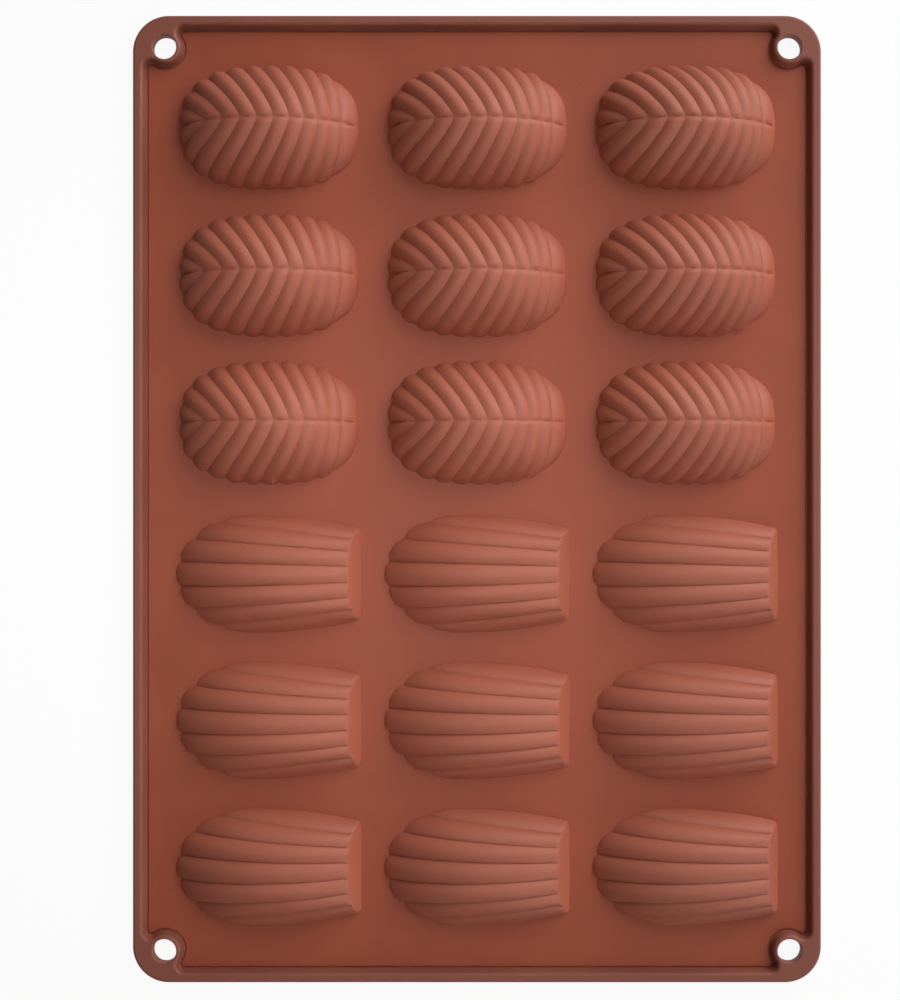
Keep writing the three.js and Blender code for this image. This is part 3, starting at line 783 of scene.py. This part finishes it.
def rounded_corner(before, corner, after, radius, steps):
    """Points of a section's rounded corner, each with its normal: the left of the way it runs."""
    start_angle = math.atan2(corner[1] - before[1], corner[0] - before[0])
    end_angle = math.atan2(after[1] - corner[1], after[0] - corner[0])
    turn = (end_angle - start_angle + math.pi) % FULL_TURN - math.pi
    side = math.copysign(1.0, turn)
    back = radius * math.tan(abs(turn) / 2)
    centre_x = corner[0] - back * math.cos(start_angle) - side * radius * math.sin(start_angle)
    centre_z = corner[1] - back * math.sin(start_angle) + side * radius * math.cos(start_angle)
    places = []
    for step in range(steps + 1):
        angle = start_angle + turn * step / steps
        left = (-math.sin(angle), math.cos(angle))
        x = centre_x - side * radius * left[0]
        z = centre_z - side * radius * left[1]
        places.append((x, z, left))
    return places


def arc(centre, radius, start, end, steps):
    """Points of an arc, both ends included."""
    angles = [start + (end - start) * i / steps for i in range(steps + 1)]
    return [(centre[0] + radius * math.cos(a), centre[1] + radius * math.sin(a)) for a in angles]


class SheetOutlines:
    """Outlines of the sheet's outer edge and its rim's inner edge, anticlockwise from above."""

    def __init__(self, sizes, low, high):
        self.sizes = sizes
        self.low = low
        self.high = high
        reach = sizes.bend_reach * BEND_MARGIN
        bend = [FOLD_Y + reach * i / BEND_ROWS for i in range(-BEND_ROWS, BEND_ROWS + 1)]
        room = 2 * sizes.corner_radius
        self.stations_x = self.spread(low.x + room, high.x - room)
        upper = self.spread(bend[-1] + sizes.mesh_step, high.y - room)
        lower = self.spread(low.y + room, bend[0] - sizes.mesh_step)
        self.bend_rows = bend
        self.stations_y = [*lower, *bend, *upper]

    def spread(self, start, end):
        count = max(round((end - start) / self.sizes.mesh_step), 1)
        return [start + (end - start) * i / count for i in range(count + 1)]

    def round_the_sheet(self, corner, set_in):
        """Joins four corners, given as one corner's points from +X to +Y, by straight sides."""
        low, high = self.low, self.high
        bottom = [(x, low.y + set_in) for x in self.stations_x]
        right = [(high.x - set_in, y) for y in self.stations_y]
        top = [(x, high.y - set_in) for x in reversed(self.stations_x)]
        left = [(low.x + set_in, y) for y in reversed(self.stations_y)]
        return [
            *((low.x + x, low.y + y) for x, y in reversed(corner)),
            *bottom,
            *((high.x - x, low.y + y) for x, y in corner),
            *right,
            *((high.x - x, high.y - y) for x, y in reversed(corner)),
            *top,
            *((low.x + x, high.y - y) for x, y in corner),
            *left,
        ]

    def outer(self, set_in):
        radius = self.sizes.corner_radius
        corner = arc((radius, radius), radius - set_in, 1.5 * math.pi, math.pi, CORNER_STEPS)
        return self.round_the_sheet(corner, set_in)

    def inner(self, set_in):
        """Inner edge of the rim, set in from the outer edge. It runs round the eyelets' rings."""
        sizes = self.sizes
        set_back = sizes.rim_width - set_in
        ring = sizes.hole_radius + sizes.ring_wall - set_back
        fillet = sizes.ring_fillet + set_back
        inset = sizes.eyelet_inset
        aside = set_in + fillet - inset
        along = math.sqrt((ring + fillet) ** 2 - aside ** 2)
        lean = math.atan2(aside, along)
        low, high = set_in + fillet, inset + along
        first = arc((high, low), fillet, -QUARTER_TURN, -math.pi + lean, FILLET_STEPS)
        round_ring = arc((inset, inset), ring, lean, QUARTER_TURN - lean, CORNER_STEPS)[1:-1]
        last = arc((low, high), fillet, -QUARTER_TURN - lean, -math.pi, FILLET_STEPS)
        return self.round_the_sheet([*first, *round_ring, *last], set_in)

    def holes(self):
        """Centres of the hanging holes."""
        inset = self.sizes.eyelet_inset
        xs = (self.low.x + inset, self.high.x - inset)
        ys = (self.low.y + inset, self.high.y - inset)
        return [(x, y) for x in xs for y in ys]


def inward_sides(outline):
    """The left of an outline's way at each of its points."""
    places = np.array(outline)
    way = np.roll(places, -1, axis=0) - np.roll(places, 1, axis=0)
    way /= np.linalg.norm(way, axis=1)[:, None]
    return np.stack([-way[:, 1], way[:, 0]], axis=1)


def swept(skin, section, outline_at):
    """Sweeps a section round its outlines. Gives its first and its last loop."""
    loops = []
    for across, z, (normal_across, normal_z) in section:
        outline = outline_at(across)
        sides = inward_sides(outline)
        normals = [(*(side * normal_across), normal_z) for side in sides]
        loops.append((skin.loop([(x, y, z) for x, y in outline]), normals))
    for (first, first_normals), (last, last_normals) in zip(loops, loops[1:]):
        skin.band(first, last, first_normals, last_normals)
    return loops[0][0], loops[-1][0]


def web_net(outlines, borders, z):
    """Inner points of the web: a net clear of its borders, finer where the sheet bends."""
    spacing = outlines.sizes.mesh_step
    rows = outlines.stations_y
    columns = outlines.spread(outlines.low.x + spacing, outlines.high.x - spacing)
    candidates = np.array([(x, y) for y in rows for x in columns])
    border = np.array(borders)
    keep = []
    for x, y in candidates:
        nearest = np.min(np.hypot(border[:, 0] - x, border[:, 1] - y))
        in_bend = outlines.bend_rows[0] <= y <= outlines.bend_rows[-1]
        if nearest > (BEND_CLEARANCE if in_bend else NET_CLEARANCE * spacing):
            keep.append((x, y, z))
    return keep


def hole_outline_at(centre):
    """Outlines of a hanging hole by the place in its section, which is minus the radius."""
    return lambda across: arc(centre, -across, 0, FULL_TURN, HOLE_STEPS)[:-1]


def tray_mesh(sizes, cups):
    """The web, the rim and the eyelets as one closed skin, open where the cups are."""
    low, high = CAD_BOX
    rim_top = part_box("leaf_end_rail")[1].z
    outlines = SheetOutlines(sizes, low, high)
    steps = sizes.arc_steps
    skin = Skin()

    crest_in = sizes.rim_width - sizes.rim_lean
    channel_floor = (sizes.rim_width, WEB_TOP - sizes.channel_depth)
    channel_end = (sizes.rim_width + sizes.channel_width, WEB_TOP)
    path = [
        (BEYOND, 0.0), (0.0, 0.0), (0.0, rim_top), (crest_in, rim_top),
        channel_floor, channel_end, (BEYOND, WEB_TOP),
    ]
    foot = rounded_corner(*path[0:3], sizes.foot_round, steps)
    outer_edge = rounded_corner(*path[1:4], sizes.crest_round, steps)
    inner_edge = rounded_corner(*path[2:5], sizes.bead_round, steps)
    channel = rounded_corner(*path[3:6], sizes.channel_round, steps)
    web_edge = rounded_corner(*path[4:7], sizes.channel_edge, steps)
    sheet_foot, crest_outer = swept(skin, [*foot, *outer_edge], outlines.outer)
    crest_inner, web_outer = swept(skin, [*inner_edge, *channel, *web_edge], outlines.inner)
    rim_points = len(skin.points) - len(web_edge) * len(web_outer)

    radius = sizes.hole_radius
    hole_path = [(-BEYOND, rim_top), (-radius, rim_top), (-radius, 0.0), (-BEYOND, 0.0)]
    hole_top = rounded_corner(*hole_path[0:3], sizes.hole_round, steps)
    hole_foot = rounded_corner(*hole_path[1:4], sizes.foot_round, steps)
    holes_top = []
    holes_foot = []
    for centre in outlines.holes():
        top, bottom = swept(skin, [*hole_top, *hole_foot], hole_outline_at(centre))
        holes_top.append(top)
        holes_foot.append(bottom)

    lips_top = []
    lips_foot = []
    borders = [skin.points[i][:2] for i in web_outer]
    for cup in cups:
        outline = lip_outline(cup)
        top = skin.loop([(p.x, p.y, WEB_TOP) for p in outline])
        bottom = skin.loop([(p.x, p.y, 0.0) for p in outline])
        sides = [(*side, 0.0) for side in inward_sides([(p.x, p.y) for p in outline])]
        skin.band(top, bottom, sides, sides)
        lips_top.append(top)
        lips_foot.append(bottom)
        borders.extend((p.x, p.y) for p in outline)

    skin.flat(crest_outer, [crest_inner, *holes_top], [], 1.0)
    skin.flat(web_outer, lips_top, web_net(outlines, borders, WEB_TOP), 1.0)
    skin.flat(sheet_foot, [*lips_foot, *holes_foot], web_net(outlines, borders, 0.0), -1.0)
    mesh = skin.mesh("tray_skin")

    heights = np.array([v.co.z for v in mesh.vertices])
    crest = (heights > (WEB_TOP + rim_top) / 2).astype(float)
    crest[:rim_points] = heights[:rim_points] > LEVEL
    mesh.attributes.new(CREST, "FLOAT", "POINT").data.foreach_set("value", crest)
    return mesh


class MOULD_OT_leaf_cups(bpy.types.Operator):
    """Makes the nine leaf cups"""

    bl_idname = "mould.leaf_cups"
    bl_label = "Leaf cups"

    def execute(self, context):
        sizes = context.scene.mould_leaf
        material = silicone_material(context.scene.mould_finish)
        make_cups(LEAF_NODES, "leaf", leaf_cup_tree(sizes), sizes, material)
        return {"FINISHED"}


class MOULD_OT_shell_cups(bpy.types.Operator):
    """Makes the nine shell cups"""

    bl_idname = "mould.shell_cups"
    bl_label = "Shell cups"

    def execute(self, context):
        sizes = context.scene.mould_shell
        material = silicone_material(context.scene.mould_finish)
        make_cups(SHELL_NODES, "shell", shell_cup_tree(sizes), sizes, material)
        return {"FINISHED"}


class MOULD_OT_tray(bpy.types.Operator):
    """Makes the web with its rim and eyelets round the cups"""

    bl_idname = "mould.tray"
    bl_label = "Web and rim"

    def execute(self, context):
        sizes = context.scene.mould_sheet
        cups = [o for o in context.scene.objects if "_cup_skin_" in o.name]
        if len(cups) != len(LEAF_NODES) + len(SHELL_NODES):
            raise RuntimeError("the cups come before the web, because it is cut round them")
        tray = new_object("tray_skin", tray_mesh(sizes, cups))
        tray.data.materials.append(silicone_material(context.scene.mould_finish))
        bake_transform(tray)
        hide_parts(*SHEET_NODES)
        return {"FINISHED"}


class MOULD_OT_stage(bpy.types.Operator):
    """Sets the floor, the lights and the camera"""

    bl_idname = "mould.stage"
    bl_label = "Stage"

    def execute(self, context):
        settings = context.scene.mould_stage
        self.make_floor(settings)
        self.make_light(settings)
        self.make_camera(settings)
        context.scene.view_settings.view_transform = "Standard"
        return {"FINISHED"}

    def make_floor(self, settings):
        half = settings.floor_size / 2
        corners = [(-half, -half), (half, -half), (half, half), (-half, half)]
        mesh = bpy.data.meshes.new("floor")
        mesh.from_pydata([(x, y, -settings.floor_drop) for x, y in corners], [], [(0, 1, 2, 3)])
        floor = new_object("floor", mesh)
        floor.data.materials.append(self.floor_material(settings))
        floor.visible_diffuse = False

    def floor_material(self, settings):
        """Pale floor with the mould's shadow, near white to the camera and clear from below."""
        material = bpy.data.materials.new("pale_floor")
        material.use_nodes = True
        tree = material.node_tree
        tree.nodes.clear()

        def mixed(*values):
            made = tree.nodes.new("ShaderNodeMixShader")
            for value, socket in zip(values, made.inputs):
                feed(tree, value, socket)
            return Field(tree, made.outputs[0])

        pale = add_node(tree, "ShaderNodeBsdfDiffuse", {"Color": FLOOR_WHITE})
        glow = add_node(tree, "ShaderNodeEmission", {})
        clear = add_node(tree, "ShaderNodeBsdfTransparent", {})
        from_below = add_node(tree, "ShaderNodeNewGeometry", {}, output="Backfacing")
        rays = tree.nodes.new("ShaderNodeLightPath")
        seen = Field(tree, rays.outputs["Is Camera Ray"])
        for kind in ("Is Glossy Ray", "Is Transmission Ray"):
            seen = seen.calculated("MAXIMUM", Field(tree, rays.outputs[kind]))
        whitened = mixed(seen * settings.floor_glow, pale, glow)
        output = tree.nodes.new("ShaderNodeOutputMaterial")
        feed(tree, mixed(from_below, whitened, clear), output.inputs["Surface"])
        return material

    def make_light(self, settings):
        world = bpy.data.worlds.new("soft_room")
        world.use_nodes = True
        tree = world.node_tree
        background = tree.nodes["Background"]
        background.inputs["Color"].default_value = WHITE
        seen = add_node(tree, "ShaderNodeLightPath", {}, output="Is Camera Ray")
        feed(tree, seen.calculated("MAXIMUM", settings.sky), background.inputs["Strength"])
        bpy.context.scene.world = world
        window = settings.window_size
        self.make_lamp("soft_window", settings.key_place, window, settings.key_power)
        self.make_lamp("side_window", settings.side_place, window, settings.side_power)
        size, power = settings.lamp_size, settings.lamp_power
        self.make_lamp("lamp", settings.lamp_place, size, power, settings.lamp_spread)

    def make_lamp(self, name, place, size, power, spread=math.pi):
        """A square lamp that shines at the mould: straight down if it hangs over it."""
        lamp = bpy.data.lights.new(name, "AREA")
        lamp.size = size
        lamp.energy = power
        lamp.spread = spread
        holder = bpy.data.objects.new(name, lamp)
        holder.location = place
        over_mould = CAD_BOX[0].x < place[0] < CAD_BOX[1].x
        target = Vector((place[0], place[1], 0.0)) if over_mould else Vector()
        holder.rotation_euler = (target - Vector(place)).to_track_quat("-Z", "Y").to_euler()
        bpy.context.scene.collection.objects.link(holder)

    def make_camera(self, settings):
        lens = bpy.data.cameras.new("camera")
        lens.lens = settings.camera_lens
        lens.shift_x, lens.shift_y = settings.camera_shift
        lens.clip_start = CLIP_START
        camera = bpy.data.objects.new("camera", lens)
        camera.location = settings.camera_place
        bpy.context.scene.collection.objects.link(camera)
        bpy.context.scene.camera = camera


class MOULD_PT_panel(bpy.types.Panel):
    """Lists the sizes of the mould and the steps that make it"""

    bl_idname = "MOULD_PT_panel"
    bl_label = "Cake mould"
    bl_space_type = "VIEW_3D"
    bl_region_type = "UI"
    bl_category = "Mould"

    def draw(self, context):
        for group, operator in STEPS:
            box = self.layout.box()
            settings = getattr(context.scene, group)
            for size in size_properties(settings):
                box.prop(settings, size.identifier)
            if operator:
                box.operator(operator.bl_idname)


STEPS = (
    ("mould_finish", None),
    ("mould_leaf", MOULD_OT_leaf_cups),
    ("mould_shell", MOULD_OT_shell_cups),
    ("mould_sheet", MOULD_OT_tray),
    ("mould_stage", MOULD_OT_stage),
)
GROUPS = {
    "mould_finish": SiliconeFinish,
    "mould_leaf": LeafCupSizes,
    "mould_shell": ShellCupSizes,
    "mould_sheet": SheetSizes,
    "mould_stage": StageSettings,
}
CLASSES = (
    *GROUPS.values(),
    MOULD_OT_leaf_cups,
    MOULD_OT_shell_cups,
    MOULD_OT_tray,
    MOULD_OT_stage,
    MOULD_PT_panel,
)


def register():
    for each in CLASSES:
        bpy.utils.register_class(each)
    for name, group in GROUPS.items():
        setattr(bpy.types.Scene, name, PointerProperty(type=group))


def unregister():
    for name in GROUPS:
        delattr(bpy.types.Scene, name)
    for each in reversed(CLASSES):
        bpy.utils.unregister_class(each)


def main():
    register()
    bpy.ops.mould.leaf_cups()
    bpy.ops.mould.shell_cups()
    bpy.ops.mould.tray()
    bpy.ops.mould.stage()


if __name__ == "__main__":
    main()
